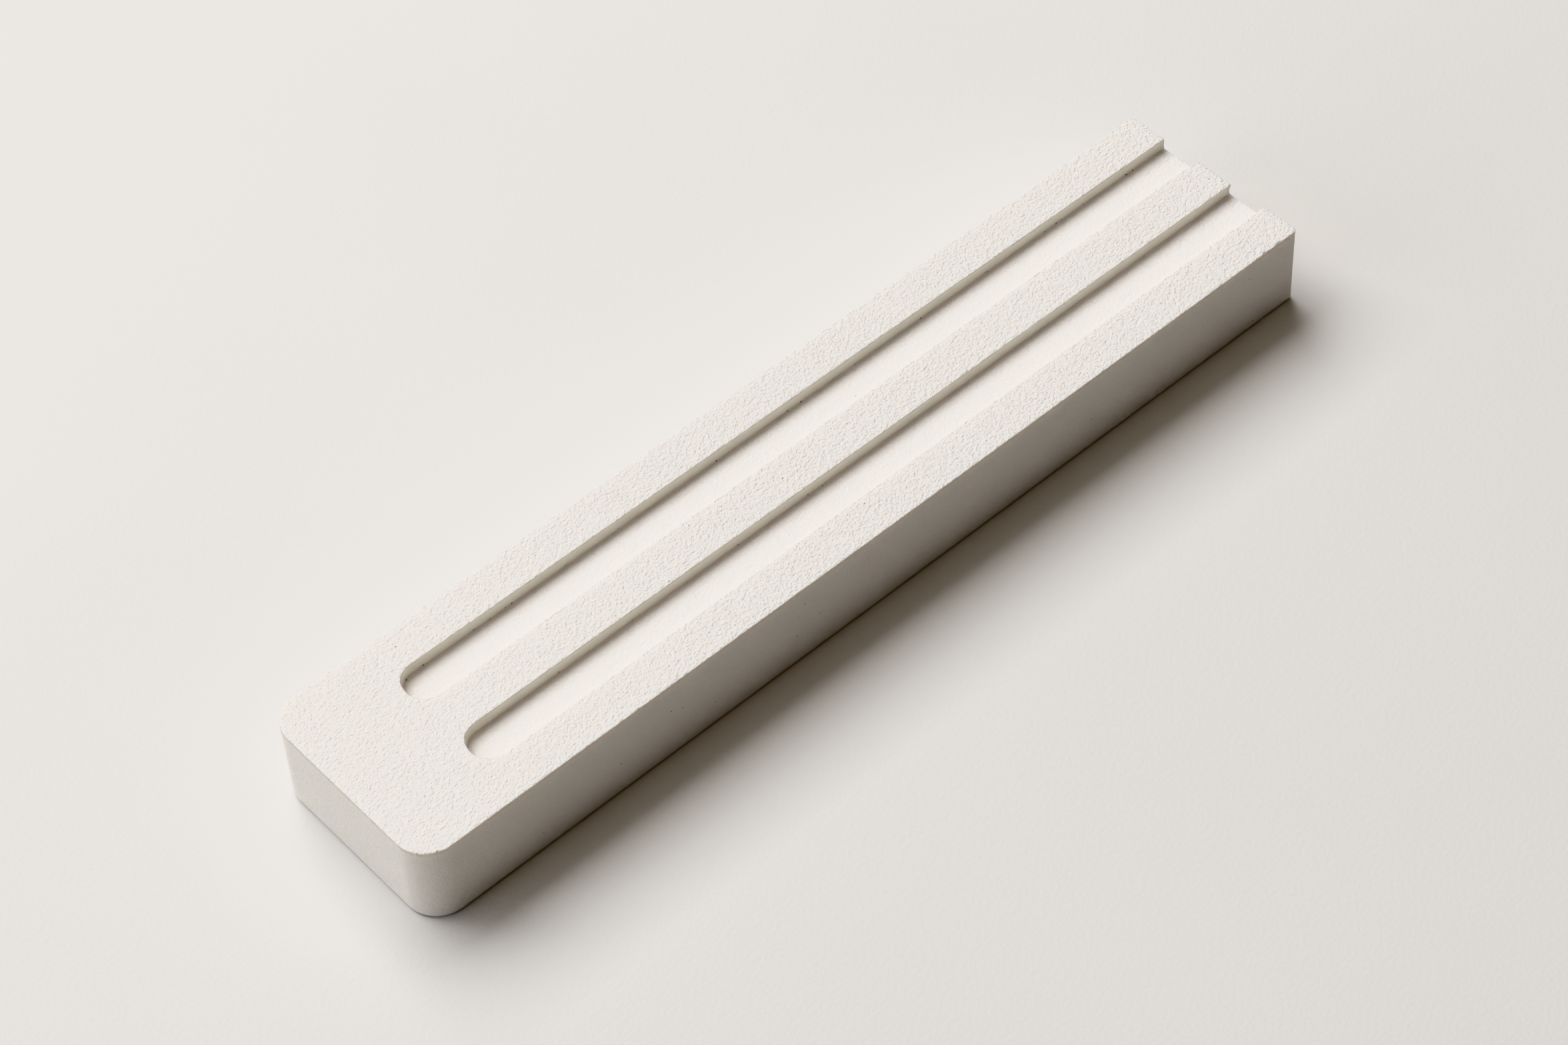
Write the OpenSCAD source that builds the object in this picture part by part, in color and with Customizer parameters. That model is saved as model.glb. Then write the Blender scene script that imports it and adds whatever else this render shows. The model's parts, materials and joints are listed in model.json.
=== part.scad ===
// Grooved scoring board: one cast mineral bar that lies flat on four thin non-slip pads.
// +X runs along the bar towards its open end, +Y across it and +Z up from the table.
// The origin is on the table, under the middle of the bar.

/* [Board] */
// Overall length, measured near the foot of the sides
board_l = 200; // [120:1:320]
// Overall width, measured near the foot of the sides
board_w = 41.4; // [34:0.1:80]
// Height of the casting, without the pads
board_h = 17.1; // [10:0.1:30]
// Lean of the side faces, which lets the casting leave its mould
draft_angle = 1; // [0:0.25:3]
// Radius of the two big upright corners at the closed end
closed_corner_r = 5.5; // [1:0.5:8]
// Radius of the two small upright corners at the open end
open_corner_r = 0.5; // [0.3:0.1:2]
// Width of the eased arris round the top face
top_ease = 0.35; // [0.2:0.05:0.6]
// Width of the eased arris round the foot
foot_ease = 0.8; // [0.3:0.1:1.2]

/* [Grooves] */
// Width of each groove
groove_w = 8.1; // [5:0.1:12]
// Depth of each groove below the top face
groove_depth = 2.4; // [1:0.1:4]
// Distance between the middles of the two grooves
groove_pitch = 16.6; // [13:0.1:20]
// Solid land between the closed end and the round ends of the grooves
closed_land = 20; // [10:0.5:60]

/* [Foot pads] */
// Diameter of each pad
pad_d = 10; // [6:0.5:12]
// Thickness of each pad
pad_t = 1.5; // [1:0.1:3]
// How far the pads stand out of the underside
pad_proud = 0.3; // [0.1:0.05:0.9]
// Radial gap between a pad and the wall of its seat
pad_gap = 0.15; // [0.05:0.05:0.4]
// Distance from the rim of a pad to the sides of the board
pad_margin = 4.5; // [3:0.5:6]

/* [Hidden] */
$fn = 96;
// Cuts run past the faces that they open by this much
overrun = 1;
board_z = pad_proud;
top_z = board_z + board_h;
groove_floor_z = top_z - groove_depth;
seat_depth = pad_t - pad_proud;
seat_d = pad_d + 2 * pad_gap;

// The sides' distance inside the overall size, at a height above the foot
function lean(height) = height * tan(draft_angle);
top_inset = lean(board_h) + top_ease;
corner_extra = max(top_inset, foot_ease);
closed_r = closed_corner_r + corner_extra;
open_r = open_corner_r + corner_extra;
closed_centre_x = closed_r - board_l / 2;
open_centre_x = board_l / 2 - open_r;
pad_x = board_l / 2 - pad_margin - pad_d / 2;
pad_y = board_w / 2 - pad_margin - pad_d / 2;
groove_end_x = closed_land - board_l / 2;

// The edge of the board in section, as [distance inside the overall size, height above the foot]
EDGE = [
    [foot_ease, 0],
    [lean(foot_ease), foot_ease],
    [lean(board_h - top_ease), board_h - top_ease],
    [top_inset, board_h]
];
EDGE_DOWN = [for (i = [len(EDGE) - 1:-1:0]) EDGE[i]];

// Section of the board between two flanks, where each flank is half the overall size
module edge_section(half_size) {
    right_flank = [for (p = EDGE) [half_size - p[0], p[1]]];
    left_flank = [for (p = EDGE_DOWN) [p[0] - half_size, p[1]]];
    polygon(concat(right_flank, left_flank));
}

// Length of the board between its two rows of upright corners, as wide as the whole board
module long_core() {
    translate([closed_centre_x, 0, 0])
        rotate([90, 0, 90])
            linear_extrude(open_centre_x - closed_centre_x)
                edge_section(board_w / 2);
}

// End of the board between its two upright corners, with side 1 at the open end and -1 at the closed end
module end_core(side, corner_r) {
    inner_x = board_l / 2 - corner_r;
    core_w = board_w - 2 * corner_r;
    flank = [for (p = EDGE) [side * (board_l / 2 - p[0]), p[1]]];
    inner = [[side * inner_x, board_h], [side * inner_x, 0]];
    translate([0, core_w / 2, 0])
        rotate([90, 0, 0])
            linear_extrude(core_w)
                polygon(concat(flank, inner));
}

// One upright corner, with the same edge in section as the sides
module upright_corner(corner_r) {
    flank = [for (p = EDGE) [corner_r - p[0], p[1]]];
    rotate_extrude()
        polygon(concat([[0, 0]], flank, [[0, board_h]]));
}

// The casting without its grooves and seats, standing on z = 0
module blank() {
    union() {
        long_core();
        end_core(-1, closed_r);
        end_core(1, open_r);
        for (side = [-1, 1]) {
            translate([closed_centre_x, side * (board_w / 2 - closed_r), 0]) upright_corner(closed_r);
            translate([open_centre_x, side * (board_w / 2 - open_r), 0]) upright_corner(open_r);
        }
    }
}

// One flat-floored groove, round at the closed end and open at the other
module groove_cut(y) {
    run_l = board_l / 2 + overrun - groove_end_x - groove_w / 2;
    translate([groove_end_x + groove_w / 2, y, groove_floor_z])
        linear_extrude(groove_depth + overrun)
            union() {
                circle(d = groove_w);
                translate([0, -groove_w / 2]) square([run_l, groove_w]);
            }
}

// Places a child under one of the four corners of the board, counted 1 to 4
module at_pad(number) {
    side_x = number <= 2 ? -1 : 1;
    side_y = number % 2 == 1 ? -1 : 1;
    translate([side_x * pad_x, side_y * pad_y, 0]) children();
}

// Seat for one pad in the underside
module pad_seat() {
    translate([0, 0, board_z - overrun]) cylinder(d = seat_d, h = seat_depth + overrun);
}

// The cast bar
module board() {
    color([0.93, 0.91, 0.88])
        difference() {
            translate([0, 0, board_z]) blank();
            for (side = [-1, 1]) groove_cut(side * groove_pitch / 2);
            for (number = [1:4]) at_pad(number) pad_seat();
        }
}

// One non-slip disc, bonded to the ceiling of its seat
module foot_pad(number) {
    color([0.62, 0.61, 0.59])
        at_pad(number)
            cylinder(d = pad_d, h = pad_t);
}

board();
foot_pad(1);  // foot_pad_1
foot_pad(2);  // foot_pad_2
foot_pad(3);  // foot_pad_3
foot_pad(4);  // foot_pad_4
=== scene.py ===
"""Looks of the grooved scoring board: one cast mineral bar on four non-slip pads, on a pale table."""
import json
import math

import bpy
import numpy as np
from mathutils import Matrix, Vector


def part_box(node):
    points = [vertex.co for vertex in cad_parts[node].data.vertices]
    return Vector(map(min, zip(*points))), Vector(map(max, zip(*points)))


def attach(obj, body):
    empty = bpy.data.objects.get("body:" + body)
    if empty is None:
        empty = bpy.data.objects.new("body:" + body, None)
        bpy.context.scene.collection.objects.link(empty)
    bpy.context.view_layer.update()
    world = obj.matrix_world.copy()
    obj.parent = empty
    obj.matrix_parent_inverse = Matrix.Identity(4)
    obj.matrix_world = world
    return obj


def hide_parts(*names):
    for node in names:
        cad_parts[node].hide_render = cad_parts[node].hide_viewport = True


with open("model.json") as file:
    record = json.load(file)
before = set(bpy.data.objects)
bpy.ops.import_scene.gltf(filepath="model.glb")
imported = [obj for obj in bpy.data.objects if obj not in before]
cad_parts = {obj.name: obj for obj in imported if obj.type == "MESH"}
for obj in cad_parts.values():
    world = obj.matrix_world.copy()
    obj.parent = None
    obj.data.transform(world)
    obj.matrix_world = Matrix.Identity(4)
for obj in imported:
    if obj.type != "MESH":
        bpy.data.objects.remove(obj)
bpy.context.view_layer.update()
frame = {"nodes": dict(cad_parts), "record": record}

# ---------------------------------------------------------------- sizes, in millimetres, from the CAD frame
MM = 0.001


def cad_points(node):
    """Corners of a CAD node's mesh, in millimetres."""
    mesh = frame["nodes"][node].data
    flat = np.empty(len(mesh.vertices) * 3)
    mesh.vertices.foreach_get("co", flat)
    return flat.reshape(-1, 3) / MM


def near(values, target, slack=0.02):
    """Which values are the target, give or take the slack."""
    return np.abs(values - target) < slack


board_pts = cad_points("board")
FOOT_Z = board_pts[:, 2].min()
TOP_Z = board_pts[:, 2].max()
HALF_L = board_pts[:, 0].max()
HALF_W = board_pts[:, 1].max()

mounts = {m["name"]: m for m in frame["record"]["mounts"]}
FLOOR_Z = mounts["groove_left"]["pos_m"][2] / MM
GROOVE_Y = mounts["groove_left"]["pos_m"][1] / MM
floor_pts = board_pts[near(board_pts[:, 2], FLOOR_Z) & (board_pts[:, 1] > 0)]
GROOVE_R = (floor_pts[:, 1].max() - floor_pts[:, 1].min()) / 2
GROOVE_END_X = floor_pts[:, 0].min() + GROOVE_R

# The sides lean inwards: their distance inside the foot's outline grows by this much per millimetre of height
top_pts = board_pts[near(board_pts[:, 2], TOP_Z)]
arris_pts = board_pts[(board_pts[:, 2] > TOP_Z - 1) & (board_pts[:, 2] < TOP_Z - 0.1)]
LEAN = (HALF_W - arris_pts[:, 1].max()) / (arris_pts[:, 2].max() - FOOT_Z)

# Radii of the upright corners, measured on the foot's outline
end_face = top_pts[near(top_pts[:, 0], top_pts[:, 0].min())]
CLOSED_R = top_pts[:, 1].max() - end_face[:, 1].max() + (HALF_W - top_pts[:, 1].max())
open_face = top_pts[near(top_pts[:, 0], top_pts[:, 0].max())]
OPEN_R = top_pts[:, 1].max() - open_face[:, 1].max() + (HALF_W - top_pts[:, 1].max())

PADS = [name for name in sorted(frame["nodes"]) if name.startswith("foot_pad")]
pad_lo, pad_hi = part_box(PADS[0])
PAD_R = (pad_hi.x - pad_lo.x) / 2 / MM
PAD_T = pad_hi.z / MM
pad_centres = [(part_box(name)[0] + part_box(name)[1]) / 2 / MM for name in PADS]
# Radial gap between a pad and the wall of its seat, as in the CAD
SEAT_GAP = 0.15

# Radii of the edges of the casting
TOP_ARRIS = 0.06
GROOVE_ARRIS = 0.08
GROOVE_FILLET = 0.18
FOOT_ARRIS = 0.5
SEAT_ARRIS = 0.12

# Wear of an arris, as radius added to it: its amount, the share and length of its slow wander and of its
# nicks, and how rare the nicks are. The grooves' arrises take only a part of it.
WEAR = 0.10
WANDER_SHARE = 0.35
WANDER_LENGTH = 7.0
NICK_SHARE = 2.2
NICK_LENGTH = 1.5
NICK_RARITY = 0.62
GROOVE_WEAR = 0.6

# Low waves that the mould and the cure leave on every face, as (height, length, seed)
WAVES = [(0.012, 9.0, 3), (0.007, 2.6, 4)]
# The whole surface lies this far inside the CAD's, so that the waves stay in the CAD box
SKIN = 0.02

# Chips at the open end, each a place and a radius: two in the middle ridge's wall, three on the front arris
RIDGE_WALL_Y = -(GROOVE_Y - GROOVE_R)
CHIPS = [
    (HALF_L - 0.25, RIDGE_WALL_Y, TOP_Z - 1.35, 0.42),
    (HALF_L - 0.25, RIDGE_WALL_Y - 0.05, TOP_Z - 2.15, 0.34),
    (HALF_L - 5.0, -HALF_W + 0.30, TOP_Z + 0.10, 0.36),
    (HALF_L - 5.6, -HALF_W + 0.25, TOP_Z + 0.05, 0.26),
    (HALF_L - 8.6, -HALF_W + 0.30, TOP_Z + 0.12, 0.42),
]


# ---------------------------------------------------------------- repeatable noise
# Large numbers that scatter the cells, one for each axis, one for the seed and one for the last stir
AXIS_SCATTER = np.array([374761393, 668265263, 2147483647])
SEED_SCATTER = 144665
LAST_STIR = 1274126177
HASH_TOP = 0xFFFF


def hashed(cells, seed):
    """A repeatable value from 0 to 1 for each whole-number cell."""
    mixed = (cells * AXIS_SCATTER).sum(axis=-1) + seed * SEED_SCATTER
    mixed = (mixed ^ (mixed >> 13)) * LAST_STIR
    return ((mixed ^ (mixed >> 16)) & HASH_TOP) / HASH_TOP


def value_noise(points, length, seed):
    """Smooth noise from -1 to 1."""
    scaled = points / length
    base = np.floor(scaled).astype(np.int64)
    part = scaled - base
    part = part * part * (3 - 2 * part)
    total = np.zeros(points.shape[:-1])
    for corner in np.ndindex(2, 2, 2):
        step = np.array(corner)
        weight = np.prod(np.where(step == 1, part, 1 - part), axis=-1)
        total += weight * hashed(base + step, seed)
    return 2 * total - 1


# ---------------------------------------------------------------- the casting as a distance field
def round_max(a, b, radius):
    """Intersection of two distance fields, with its edge rounded to a radius."""
    over_a = np.maximum(a + radius, 0)
    over_b = np.maximum(b + radius, 0)
    return np.minimum(np.maximum(a, b), -radius) + np.hypot(over_a, over_b)


def side_distance(x, y, z):
    """Distance outside the leaning sides, with round upright corners."""
    radius = np.where(x < 0, CLOSED_R, OPEN_R)
    dx = np.abs(x) - (HALF_L - radius)
    dy = np.abs(y) - (HALF_W - radius)
    outline = np.hypot(np.maximum(dx, 0), np.maximum(dy, 0)) + np.minimum(np.maximum(dx, dy), 0) - radius
    return outline + (z - FOOT_Z) * LEAN


def slot_distance(x, y, sign):
    """Distance outside the walls of one groove, round at its closed end: sign picks the side of the board."""
    return np.hypot(np.minimum(x - GROOVE_END_X, 0), y - sign * GROOVE_Y) - GROOVE_R


def arris_wear(points):
    """Radius to add to an arris: a slow wander, and small nicks here and there."""
    wander = value_noise(points, WANDER_LENGTH, seed=11)
    nicks = np.clip(value_noise(points, NICK_LENGTH, seed=12) - NICK_RARITY, 0, 1)
    return WEAR * (WANDER_SHARE * wander + NICK_SHARE * nicks)


def surface_waves(points):
    """Height of the low waves."""
    return sum(height * value_noise(points, length, seed) for height, length, seed in WAVES)


def casting(points):
    """Distance outside the cast board."""
    x, y, z = points[..., 0], points[..., 1], points[..., 2]
    wear = arris_wear(points)
    body = round_max(side_distance(x, y, z), z - TOP_Z, TOP_ARRIS + wear)
    body = round_max(body, FOOT_Z - z, FOOT_ARRIS)
    for sign in (-1, 1):
        groove = round_max(slot_distance(x, y, sign), FLOOR_Z - z, GROOVE_FILLET)
        body = round_max(body, -groove, GROOVE_ARRIS + GROOVE_WEAR * wear)
    for centre in pad_centres:
        seat = np.maximum(np.hypot(x - centre.x, y - centre.y) - PAD_R - SEAT_GAP, z - PAD_T)
        body = round_max(body, -seat, SEAT_ARRIS)
    for cx, cy, cz, radius in CHIPS:
        body = np.maximum(body, radius - np.sqrt((x - cx) ** 2 + (y - cy) ** 2 + (z - cz) ** 2))
    return body + SKIN + surface_waves(points)


# ---------------------------------------------------------------- mesh from the distance field
# Spacing of the lattice: wide on the flat faces, fine across every edge
WIDE_X = 0.75
WIDE_Y = 1.0
WIDE_Z = 1.1
FINE = 0.10
FOOT_STEP = 0.2
CORNER_STEP = 0.3
GROOVE_END_STEP = 0.24
# Room round the board, and half the width of the fine zone across a groove wall
ROOM = 0.5
WALL_ZONE = 0.40


def lattice(low, high, step, fine_zones):
    """Lattice lines from low to high: a wide step, and a finer one inside each zone (start, end, step)."""
    lines = []
    cursor = low
    for start, end, fine in sorted(fine_zones) + [(high, high, step)]:
        gap = start - cursor
        if gap > 0:
            count = max(1, math.ceil(gap / step))
            lines.extend(np.linspace(cursor, start, count, endpoint=False))
        count = max(1, round((end - start) / fine))
        lines.extend(np.linspace(start, end, count, endpoint=False))
        cursor = end
    lines.append(high)
    return np.unique(np.round(lines, 6))


def board_lattice():
    """Lattice lines along the board, across it and up it."""
    groove_tip = GROOVE_END_X - GROOVE_R
    xs = lattice(-HALF_L - ROOM, HALF_L + ROOM, WIDE_X, [
        (-HALF_L - 0.1, -HALF_L + 0.6, FINE),
        (-HALF_L + 0.6, -HALF_L + CLOSED_R, CORNER_STEP),
        (groove_tip - 0.5, GROOVE_END_X + 0.5, GROOVE_END_STEP),
        (HALF_L - 1.2, HALF_L + 0.1, FINE),
    ])
    walls = [sign * (GROOVE_Y + side * GROOVE_R) for sign in (-1, 1) for side in (-1, 1)]
    ys = lattice(-HALF_W - ROOM, HALF_W + ROOM, WIDE_Y, [
        (-HALF_W - 0.1, -HALF_W + 0.8, FINE),
        (HALF_W - 0.8, HALF_W + 0.1, FINE),
    ] + [(y - WALL_ZONE, y + WALL_ZONE, FINE) for y in walls])
    zs = lattice(FOOT_Z - ROOM, TOP_Z + ROOM, WIDE_Z, [
        (FOOT_Z - 0.15, FOOT_Z + 1.05, FOOT_STEP),
        (PAD_T - 0.1, PAD_T + 0.3, FOOT_STEP),
        (FLOOR_Z - 0.15, FLOOR_Z + 0.35, FINE),
        (TOP_Z - 0.5, TOP_Z + 0.1, FINE),
    ])
    return xs, ys, zs


def gradient(field, points, step=0.01):
    """Slope of a field along each axis."""
    slopes = []
    for axis in range(3):
        shift = np.zeros(3)
        shift[axis] = step
        slopes.append((field(points + shift) - field(points - shift)) / (2 * step))
    return np.stack(slopes, axis=-1)


def net_points(grid, value, inside):
    """One point in each lattice cell that the surface passes through, and the cells' numbers (-1 for none)."""
    cells = tuple(n - 1 for n in value.shape)
    total = np.zeros(cells + (3,))
    crossings = np.zeros(cells)
    for axis in range(3):
        others = [a for a in range(3) if a != axis]
        for offset in np.ndindex(2, 2):
            low = [slice(None, -1)] * 3
            for other, shift in zip(others, offset):
                low[other] = slice(shift, shift - 1 or None)
            high = list(low)
            high[axis] = slice(1, None)
            low, high = tuple(low), tuple(high)
            crossed = inside[low] != inside[high]
            spread = np.where(crossed, value[low] - value[high], 1.0)
            share = np.where(crossed, value[low] / spread, 0.0)
            point = grid[low] + share[..., None] * (grid[high] - grid[low])
            total += np.where(crossed[..., None], point, 0.0)
            crossings += crossed
    used = crossings > 0
    number = np.full(cells, -1, dtype=np.int64)
    number[used] = np.arange(used.sum())
    return total[used] / crossings[used][:, None], number


def net_quads(inside, number):
    """One quad across each lattice edge that the surface cuts, facing outwards."""
    quads = []
    for axis in range(3):
        a, b = [(axis + 1) % 3, (axis + 2) % 3]
        low = [slice(1, -1)] * 3
        low[axis] = slice(None, -1)
        high = list(low)
        high[axis] = slice(1, None)
        here, there = inside[tuple(low)], inside[tuple(high)]
        at = np.argwhere(here != there)
        leaving = here[here != there]
        at[:, a] += 1
        at[:, b] += 1
        corner = []
        for shift_a, shift_b in ((1, 1), (0, 1), (0, 0), (1, 0)):
            cell = at.copy()
            cell[:, a] -= shift_a
            cell[:, b] -= shift_b
            corner.append(number[tuple(cell.T)])
        quad = np.stack(corner, axis=-1)
        quad[~leaving] = quad[~leaving][:, ::-1]
        quads.append(quad)
    return np.concatenate(quads)


def surface_nets(field, xs, ys, zs):
    """Points and quads round the zero surface of a field."""
    grid = np.stack(np.meshgrid(xs, ys, zs, indexing="ij"), axis=-1)
    value = field(grid)
    inside = value < 0
    points, number = net_points(grid, value, inside)
    return points, net_quads(inside, number)


def settle(field, points, rounds=4):
    """Moves points onto the zero surface of a field."""
    for _ in range(rounds):
        slope = gradient(field, points)
        length = np.maximum((slope ** 2).sum(-1, keepdims=True), 0.25)
        points = points - field(points)[:, None] * slope / length
    return points


# ---------------------------------------------------------------- pieces as meshes
def smooth_mesh(name, points, faces):
    """A smooth-shaded mesh, from points in millimetres."""
    mesh = bpy.data.meshes.new(name)
    mesh.from_pydata((np.array(points) * MM).tolist(), [], faces)
    mesh.validate()
    mesh.polygons.foreach_set("use_smooth", np.ones(len(mesh.polygons), dtype=bool))
    return mesh


def in_scene(mesh):
    """An object for a mesh, with the mesh's own name."""
    piece = bpy.data.objects.new(mesh.name, mesh)
    bpy.context.scene.collection.objects.link(piece)
    return piece


def fade(distance, width):
    """0 to 1 over a width."""
    return np.clip(distance / width, 0, 1)


def board_masks(points):
    """Masks for the material: the top, the inside of the grooves, the arrises and the foot of the walls."""
    x, y, z = points.T
    slot = np.minimum(*[slot_distance(x, y, sign) for sign in (-1, 1)])
    to_edge = np.minimum(np.abs(slot), np.abs(side_distance(x, y, z)))
    above_floor = fade(z - FLOOR_Z + 0.3, 0.2)
    return {
        "top_face": fade(z - (TOP_Z - 0.5), 0.4),
        "groove_face": fade(0.5 - slot, 0.3) * fade(TOP_Z - 0.1 - z, 0.2) * above_floor,
        "arris": 1 - fade(np.hypot(to_edge, z - TOP_Z), 1.0),
        "wall_foot": 1 - fade(np.hypot(slot, z - FLOOR_Z), 0.55),
    }


def build_board():
    """The casting, with normals from its distance field and masks for its material."""
    points, quads = surface_nets(casting, *board_lattice())
    points = settle(casting, points)
    mesh = smooth_mesh("cast_board", points, quads.tolist())
    normals = gradient(casting, points)
    normals /= np.linalg.norm(normals, axis=1, keepdims=True)
    mesh.normals_split_custom_set_from_vertices(normals.tolist())
    for name, mask in board_masks(points).items():
        layer = mesh.attributes.new(name, "FLOAT", "POINT")
        layer.data.foreach_set("value", mask.astype(np.float32))
    return in_scene(mesh)


# A pad's rounded rim, the small bevel of its back, and a ring in its sole, as a share of its radius
PAD_RIM = 0.28
PAD_BACK = 0.05
SOLE_RING = 0.55
PAD_TURNS = 96
RIM_STEPS = 6


def build_pad(name, centre):
    """A disc turned from its half section: flat sole, rounded rim, flat back."""
    angles = np.linspace(0, math.pi / 2, RIM_STEPS)
    rim = [(PAD_R - PAD_RIM + PAD_RIM * math.sin(a), PAD_RIM - PAD_RIM * math.cos(a)) for a in angles]
    back = [(PAD_R, PAD_T - PAD_BACK), (PAD_R - PAD_BACK, PAD_T), (0.0, PAD_T)]
    points = []
    rings = []
    for radius, z in [(0.0, 0.0), (PAD_R * SOLE_RING, 0.0)] + rim + back:
        if radius == 0:
            rings.append([len(points)] * PAD_TURNS)
            points.append((centre.x, centre.y, z))
            continue
        rings.append(list(range(len(points), len(points) + PAD_TURNS)))
        for k in range(PAD_TURNS):
            angle = 2 * math.pi * k / PAD_TURNS
            points.append((centre.x + radius * math.cos(angle), centre.y + radius * math.sin(angle), z))
    faces = []
    for low, high in zip(rings, rings[1:]):
        for k in range(PAD_TURNS):
            n = (k + 1) % PAD_TURNS
            # On the axis two corners fall together, and the quad becomes a triangle
            faces.append(tuple(dict.fromkeys((low[k], low[n], high[n], high[k]))))
    return in_scene(smooth_mesh(name, points, faces))


# ---------------------------------------------------------------- materials
# The casting: two whites that cloud each other, its specks, a tan line under its top arrises, painted shade on
# the upright sides and groove floors, painted light on the groove walls, and painted shade in its pinholes
CAST_WARM = (0.930, 0.888, 0.854)
CAST_COOL = (0.930, 0.894, 0.866)
CAST_SPECK = (0.70, 0.67, 0.635)
CAST_EDGE = (0.66, 0.58, 0.48)
CAST_SIDE_PAINTED_SHADE = (0.86, 0.810, 0.745)
CAST_WALL_PAINTED_LIGHT = (0.985, 0.93, 0.84)
CAST_FLOOR_PAINTED_SHADE = (0.890, 0.868, 0.848)
CAST_HOLE_PAINTED_SHADE = (0.10, 0.085, 0.07)
PAD_DARK = (0.26, 0.255, 0.245)
PAD_LIGHT = (0.33, 0.325, 0.31)
TABLE_LIGHT = (0.748, 0.738, 0.722)
TABLE_DARK = (0.733, 0.723, 0.707)
# How far light travels inside the casting in red, green and blue, in millimetres
CAST_SCATTER = (1.6, 1.5, 1.35)

# Places of the colour sockets on a Mix node, which has others of the same names
MIX_A = 6
MIX_B = 7
MIX_RESULT = 2


class Nodes:
    """Short calls for building one material's node tree."""

    def __init__(self, name):
        self.material = bpy.data.materials.new(name)
        self.material.use_nodes = True
        self.tree = self.material.node_tree
        self.shader = self.tree.nodes["Principled BSDF"]
        self.coords = self.tree.nodes.new("ShaderNodeTexCoord").outputs["Object"]

    def link(self, source, target):
        self.tree.links.new(source, target)

    def node(self, kind, **settings):
        made = self.tree.nodes.new(kind)
        for key, value in settings.items():
            setattr(made, key, value)
        return made

    def feed(self, socket, value):
        """Gives a socket a number, a colour or another node's output."""
        if isinstance(value, (int, float)):
            socket.default_value = value
        elif isinstance(value, tuple):
            socket.default_value = value + (1.0,)
        else:
            self.link(value, socket)

    def mask(self, name):
        return self.node("ShaderNodeAttribute", attribute_name=name).outputs["Fac"]

    def noise(self, size_mm, detail=2.0, roughness=0.5):
        made = self.node("ShaderNodeTexNoise")
        made.inputs["Scale"].default_value = 1 / (size_mm * MM)
        made.inputs["Detail"].default_value = detail
        made.inputs["Roughness"].default_value = roughness
        self.link(self.coords, made.inputs["Vector"])
        return made.outputs["Fac"]

    def voronoi(self, size_mm):
        made = self.node("ShaderNodeTexVoronoi")
        made.inputs["Scale"].default_value = 1 / (size_mm * MM)
        self.link(self.coords, made.inputs["Vector"])
        return made.outputs

    def ramp(self, value, low, high, to_low=0.0, to_high=1.0):
        made = self.node("ShaderNodeMapRange", clamp=True)
        for socket, number in zip(("From Min", "From Max", "To Min", "To Max"), (low, high, to_low, to_high)):
            made.inputs[socket].default_value = number
        self.link(value, made.inputs["Value"])
        return made.outputs["Result"]

    def math(self, operation, *values):
        made = self.node("ShaderNodeMath", operation=operation)
        for socket, value in zip(made.inputs, values):
            self.feed(socket, value)
        return made.outputs["Value"]

    def product(self, first, *others):
        for other in others:
            first = self.math("MULTIPLY", first, other)
        return first

    def mix(self, factor, first, second):
        made = self.node("ShaderNodeMix", data_type="RGBA")
        self.feed(made.inputs["Factor"], factor)
        self.feed(made.inputs[MIX_A], first)
        self.feed(made.inputs[MIX_B], second)
        return made.outputs[MIX_RESULT]

    def component(self, vector, axis):
        parts = self.node("ShaderNodeSeparateXYZ")
        self.link(vector, parts.inputs[0])
        return parts.outputs[axis]

    def up(self):
        """Upward part of the face's direction."""
        return self.component(self.node("ShaderNodeNewGeometry").outputs["True Normal"], "Z")

    def along(self):
        """Place along the board's length."""
        return self.component(self.coords, "X")

    def bump(self, height, distance_mm):
        made = self.node("ShaderNodeBump")
        made.inputs["Distance"].default_value = distance_mm * MM
        self.link(height, made.inputs["Height"])
        return made.outputs["Normal"]


def cast_colour(n, clouds, top, groove, upright):
    """A warm white, clouded by slow patches, with a fine speckle of grains, and painted shade and light by kind
    of face.
    """
    grains = n.noise(0.42, 2.0, 0.6)
    colour = n.mix(n.ramp(clouds, 0.35, 0.65), CAST_WARM, CAST_COOL)
    speckle = n.product(n.ramp(grains, 0.30, 0.46, 1.0, 0.0), n.ramp(top, 0.0, 1.0, 0.2, 0.40))
    colour = n.mix(speckle, colour, CAST_SPECK)
    # Upright faces darker and warmer than the top: painted shade
    colour = n.mix(n.product(upright, 0.9), colour, CAST_SIDE_PAINTED_SHADE)
    # Groove floors darker and cooler than the top: painted shade; groove walls lighter and warmer: painted
    # light
    colour = n.mix(n.product(groove, 0.9), colour, n.mix(upright, CAST_FLOOR_PAINTED_SHADE, CAST_WALL_PAINTED_LIGHT))
    # A tan darkening on the upright faces just under the top arrises
    under_arris_tan = n.product(n.ramp(n.mask("arris"), 0.1, 0.5), n.math("SUBTRACT", upright, groove))
    return n.mix(n.product(n.math("MAXIMUM", under_arris_tan, 0.0), 0.5), colour, CAST_EDGE)


def pinholes(n):
    """Holes strung along the foot of the groove walls, and a few anywhere."""
    strung_cells = n.voronoi(0.75)
    strung = n.product(
        n.ramp(strung_cells["Distance"], 0.18, 0.26, 1.0, 0.0),
        n.ramp(strung_cells["Color"], 0.48, 0.52),
        n.ramp(n.mask("wall_foot"), 0.45, 0.7),
    )
    lone_cells = n.voronoi(3.4)
    lone = n.product(
        n.ramp(lone_cells["Distance"], 0.026, 0.044, 1.0, 0.0),
        n.ramp(lone_cells["Color"], 0.62, 0.66),
    )
    return n.math("MAXIMUM", strung, lone)


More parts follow.
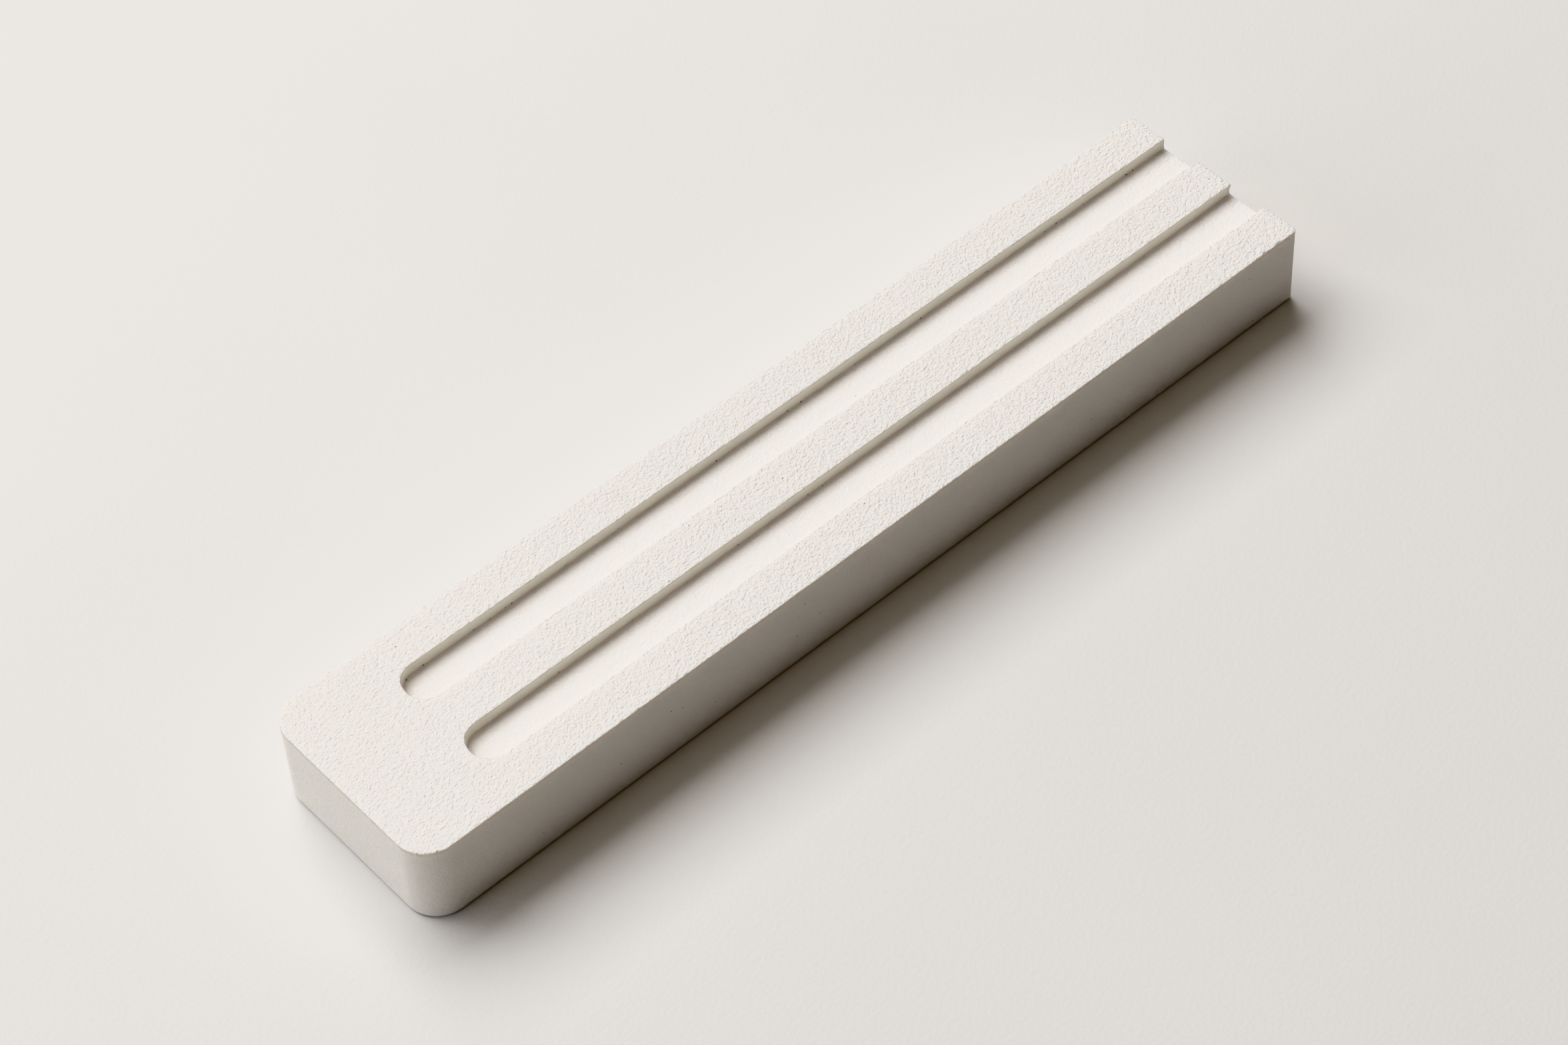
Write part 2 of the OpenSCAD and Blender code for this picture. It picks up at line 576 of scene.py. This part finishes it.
def cast_relief(n, top, groove, upright, holes):
    """An orange peel of two sizes and the pinholes: the peel fades off the top and towards the closed end."""
    peel = n.math("ADD", n.product(n.noise(0.65, 1.0), 0.4), n.product(n.noise(0.36, 2.0), 0.6))
    off_walls = n.math("SUBTRACT", 1.0, n.product(groove, upright, 0.6))
    towards_open = n.ramp(n.along(), -90 * MM, -20 * MM, 0.75, 1.0)
    relief = n.product(peel, n.ramp(top, 0.0, 1.0, 0.5, 1.0), off_walls, towards_open)
    return n.math("SUBTRACT", relief, n.product(holes, 0.4))


def cast_mineral():
    """Matt off-white casting: pebbled on top, smoother in the grooves and on the sides, with pinholes."""
    n = Nodes("cast_mineral")
    top = n.mask("top_face")
    groove = n.mask("groove_face")
    upright = n.math("SUBTRACT", 1.0, n.math("ABSOLUTE", n.up()))
    clouds = n.noise(14.0, 3.0)
    holes = pinholes(n)
    colour = cast_colour(n, clouds, top, groove, upright)
    # Pinholes darkened almost to black: painted shade inside them
    n.link(n.mix(n.product(holes, 0.8), colour, CAST_HOLE_PAINTED_SHADE), n.shader.inputs["Base Color"])
    n.link(n.bump(cast_relief(n, top, groove, upright, holes), 0.76), n.shader.inputs["Normal"])
    n.link(n.ramp(clouds, 0.3, 0.7, 0.86, 0.94), n.shader.inputs["Roughness"])
    n.shader.inputs["Specular IOR Level"].default_value = 0.3
    n.shader.inputs["Subsurface Weight"].default_value = 0.6
    n.shader.inputs["Subsurface Radius"].default_value = CAST_SCATTER
    n.shader.inputs["Subsurface Scale"].default_value = MM
    return n.material


def pad_rubber():
    """Matt grey elastomer with a fine cast grain."""
    n = Nodes("pad_rubber")
    clouds = n.noise(2.5, 3.0)
    grain = n.noise(0.25)
    n.link(n.mix(n.ramp(clouds, 0.3, 0.7), PAD_DARK, PAD_LIGHT), n.shader.inputs["Base Color"])
    n.link(n.ramp(grain, 0.3, 0.7, 0.5, 0.72), n.shader.inputs["Roughness"])
    n.link(n.bump(grain, 0.02), n.shader.inputs["Normal"])
    n.shader.inputs["Specular IOR Level"].default_value = 0.4
    return n.material


def table_paint():
    """Pale matt table top."""
    n = Nodes("table_paint")
    clouds = n.noise(90.0, 3.0)
    n.link(n.mix(n.ramp(clouds, 0.3, 0.7), TABLE_LIGHT, TABLE_DARK), n.shader.inputs["Base Color"])
    n.link(n.bump(n.noise(0.8), 0.04), n.shader.inputs["Normal"])
    n.shader.inputs["Roughness"].default_value = 0.7
    n.shader.inputs["Specular IOR Level"].default_value = 0.3
    return n.material


# ---------------------------------------------------------------- pieces
board = build_board()
board.data.materials.append(cast_mineral())
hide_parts("board")
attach(board, "root")

rubber = pad_rubber()
for node_name, centre in zip(PADS, pad_centres):
    pad = build_pad(node_name + "_disc", centre)
    pad.data.materials.append(rubber)
    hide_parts(node_name)
    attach(pad, "root")

# ---------------------------------------------------------------- stage, light and camera, in metres
TABLE_SIZE = 6.0
LIGHT_DISTANCE = 2.4

bpy.ops.mesh.primitive_grid_add(x_subdivisions=8, y_subdivisions=8, size=TABLE_SIZE)
table = bpy.context.object
table.name = "table_top"
table.data.materials.append(table_paint())


def softbox(name, azimuth, elevation, width, height, power, colour):
    """A rectangular softbox that faces the middle of the table: azimuth counts from +X towards +Y."""
    data = bpy.data.lights.new(name, "AREA")
    data.shape = "RECTANGLE"
    data.size = width
    data.size_y = height
    data.energy = power
    data.color = colour
    lamp = bpy.data.objects.new(name, data)
    bpy.context.scene.collection.objects.link(lamp)
    a = math.radians(azimuth)
    e = math.radians(elevation)
    lamp.location = LIGHT_DISTANCE * Vector((math.cos(e) * math.cos(a), math.cos(e) * math.sin(a), math.sin(e)))
    lamp.rotation_euler = (-lamp.location).to_track_quat("-Z", "Y").to_euler()


softbox("key", azimuth=95, elevation=53, width=2.6, height=1.7, power=79.0, colour=(1.0, 0.999, 0.997))
softbox("side_fill", azimuth=165, elevation=20, width=1.4, height=1.4, power=15.3, colour=(0.88, 0.93, 1.0))
softbox("top_fill", azimuth=0, elevation=88, width=2.4, height=2.4, power=11.3, colour=(1.0, 0.83, 0.66))

world = bpy.data.worlds.new("studio")
world.use_nodes = True
world.node_tree.nodes["Background"].inputs["Color"].default_value = (1.0, 0.8, 0.5, 1.0)
world.node_tree.nodes["Background"].inputs["Strength"].default_value = 0.002
bpy.context.scene.world = world

# The camera stands where the photo's edges and vanishing directions put it
CAMERA_AT = Vector((-0.257616, -0.306867, 0.472814))
CAMERA_AIM = Vector((-0.00723, -0.00167, 0.0085))
CAMERA_ROLL = math.radians(3.567)
LENS_MM = 82.13
SENSOR_MM = 36.0
camera_data = bpy.data.cameras.new("camera")
camera_data.sensor_width = SENSOR_MM
camera_data.lens = LENS_MM
camera_data.clip_start = 0.01
camera = bpy.data.objects.new("camera", camera_data)
bpy.context.scene.collection.objects.link(camera)
camera.location = CAMERA_AT
look = (CAMERA_AIM - CAMERA_AT).to_track_quat("-Z", "Y")
camera.rotation_euler = (look.to_matrix() @ Matrix.Rotation(-CAMERA_ROLL, 3, "Z")).to_euler()
bpy.context.scene.camera = camera

bpy.context.scene.view_settings.view_transform = "Khronos PBR Neutral"
